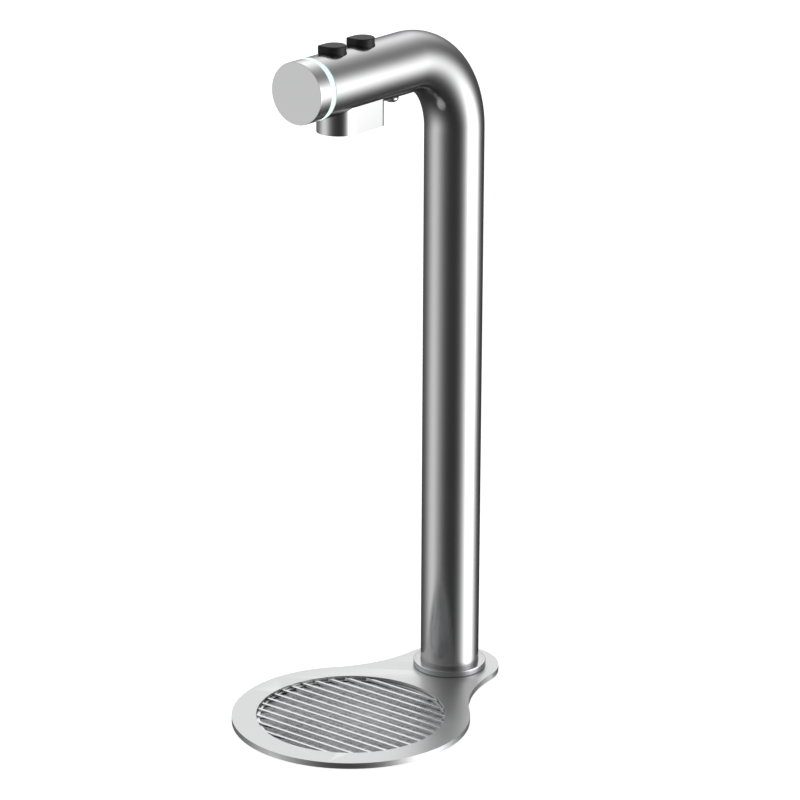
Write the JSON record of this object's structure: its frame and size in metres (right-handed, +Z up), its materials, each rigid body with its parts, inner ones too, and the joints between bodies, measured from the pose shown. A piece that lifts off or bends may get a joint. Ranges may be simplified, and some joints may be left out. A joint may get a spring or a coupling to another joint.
{
  "type": "countertop water dispenser",
  "caption": "Bent steel column with a downward spout, press buttons and a light ring on its arm, on a flat keyhole base with a lift-out drip grille.",
  "frame": {"origin": "middle of the footprint, on the counter under the base plate", "axes": "+Z up along the column, -Y the way the arm reaches (front), +X to the right seen from the front"},
  "size_m": [0.1598, 0.223, 0.4643],
  "materials": {
    "satin_steel": "satin stainless steel",
    "plate_steel": "fine satin stainless steel",
    "cap_steel": "turned stainless steel, flat satin face",
    "pan_steel": "dull stainless steel, wet look",
    "grille_steel": "ground stainless steel bars",
    "polished_steel": "mirror polished",
    "fastener_steel": "plain stainless fasteners",
    "button_plastic": "fine matt black",
    "grey_plastic": "moulded dark grey",
    "light_diffuser": "opal diffuser, lit cool white",
    "circuit_board": "green solder mask",
    "rubber": "black rubber",
    "silicone": "translucent grey silicone",
    "hose_plastic": "natural polyethylene",
    "nozzle_brass": "machined brass"
  },
  "bodies": {
    "body": {"base_plate": "plate_steel", "drip_pan": "pan_steel", "column_seal": "rubber", "tray_seal": "rubber", "foot_collar": "satin_steel", "foot_spigot": "satin_steel", "column_screw_1": "fastener_steel", "column_screw_2": "fastener_steel", "column_screw_3": "fastener_steel", "left_inlet": "grey_plastic", "right_inlet": "grey_plastic", "lead_plug": "button_plastic", "column_tube": "satin_steel", "hose_spacer_lower": "grey_plastic", "hose_spacer_upper": "grey_plastic", "left_hose": "hose_plastic", "right_hose": "hose_plastic", "power_lead": "rubber", "light_ring": "light_diffuser", "led_board": "circuit_board", "end_cap": "cap_steel", "cap_seal": "rubber", "front_return_dome": "silicone", "rear_return_dome": "silicone", "front_switch": "button_plastic", "rear_switch": "button_plastic", "button_guide": "grey_plastic", "switch_board": "circuit_board", "board_socket": "hose_plastic", "led_ribbon": "rubber", "arm_carrier": "grey_plastic", "retaining_screw": "polished_steel", "spout_housing": "polished_steel", "spout_screw": "fastener_steel", "left_nozzle": "nozzle_brass", "right_nozzle": "nozzle_brass", "left_flow_insert": "grey_plastic", "right_flow_insert": "grey_plastic"},
    "front_button": {"front_button": "button_plastic"},
    "rear_button": {"rear_button": "button_plastic"},
    "drip_grille": {"drip_grille": "grille_steel"}
  },
  "joints": [
    {"name": "front_button_press", "type": "slide", "parent": "body", "child": "front_button", "axis": [0, 0, -1], "range_m": [0, 0.0012], "stiffness_N_per_m": 1500, "springref_m": -0.0006, "deforming": ["front_return_dome"]},
    {"name": "rear_button_press", "type": "slide", "parent": "body", "child": "rear_button", "axis": [0, 0, -1], "range_m": [0, 0.0012], "stiffness_N_per_m": 1500, "springref_m": -0.0006, "deforming": ["rear_return_dome"]},
    {"name": "grille_lift", "type": "slide", "parent": "body", "child": "drip_grille", "axis": [0, 0, 1], "range_m": [0, 0.04]}
  ]
}
